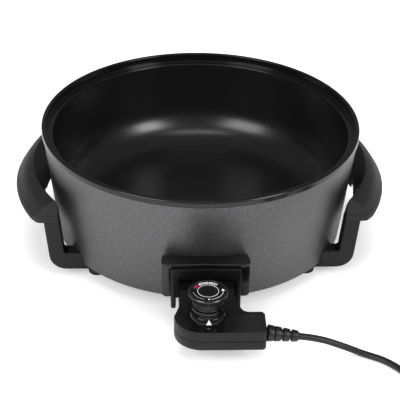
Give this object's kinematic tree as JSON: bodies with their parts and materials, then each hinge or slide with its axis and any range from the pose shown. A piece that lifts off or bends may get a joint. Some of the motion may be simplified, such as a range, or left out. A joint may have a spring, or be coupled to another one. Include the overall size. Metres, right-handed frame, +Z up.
{
  "type": "electric skillet",
  "caption": "Round electric skillet: deep cast pan with a stepped lid seat, two wing handles on L-shaped arms, four feet, and a plug-in dial heat control on a mains cord.",
  "frame": {"origin": "on the floor, at the middle of the footprint of the pan, its handles and its heat control", "axes": "+Z up; -Y towards the heat control at the front; +X to the right, where the cord leaves"},
  "size_m": [0.4753, 0.4706, 0.13],
  "materials": {
    "pan_metal": "cast, hammered grey paint outside, black coating inside",
    "element_steel": "oxidised steel tube",
    "contact_metal": "nickel plated",
    "ceramic": "glazed ceramic",
    "plated_steel": "zinc plated",
    "shroud_plastic": "semi-gloss black",
    "frame_plastic": "satin black",
    "screw_steel": "zinc plated",
    "handle_plastic": "satin black",
    "arm_plastic": "fine matte black",
    "foot_rubber": "matte",
    "control_gloss": "gloss black",
    "control_matte": "matte black",
    "spring_brass": "spring strip",
    "cord_rubber": "soft matte",
    "dial_plastic": "satin black",
    "dial_rim": "bright edge",
    "dial_print": "black with white numbers",
    "cord_sheath": "smooth sheath",
    "plug_rubber": "soft matte"
  },
  "bodies": {
    "pan_unit": {"pan": "pan_metal", "heating_element": "element_steel", "terminal_pins": "contact_metal", "terminal_insulators": "ceramic", "terminal_plate": "plated_steel", "probe_socket": "plated_steel", "connector_shroud": "shroud_plastic", "connector_frame": "frame_plastic", "shroud_screws": "screw_steel", "left_handle_top": "handle_plastic", "left_handle_cover": "handle_plastic", "right_handle_top": "handle_plastic", "right_handle_cover": "handle_plastic", "front_left_arm": "arm_plastic", "front_right_arm": "arm_plastic", "rear_left_arm": "arm_plastic", "rear_right_arm": "arm_plastic", "feet": "foot_rubber", "foot_screws": "screw_steel", "handle_screws": "screw_steel"},
    "control": {"control_top": "control_gloss", "control_base": "control_matte", "control_screws": "screw_steel", "thermostat_block": "ceramic", "contact_blade": "spring_brass", "probe_tube": "contact_metal", "contact_sleeves": "spring_brass", "strain_relief": "cord_rubber", "power_cord": "cord_sheath", "cord_coil": "cord_sheath", "plug_body": "plug_rubber", "plug_pins": "contact_metal"},
    "dial": {"dial_spindle": "plated_steel", "knurled_ring": "dial_plastic", "dial_knob": "dial_rim", "dial_face": "dial_print"}
  },
  "joints": [
    {"name": "control_unplug", "type": "slide", "parent": "pan_unit", "child": "control", "axis": [0, -1, 0], "range_m": [0, 0.11]},
    {"name": "dial_turn", "type": "hinge", "parent": "control", "child": "dial", "pos_m": [0, -0.17, 0.055], "axis": [0, 0, -1], "range_deg": [0, 240]}
  ]
}
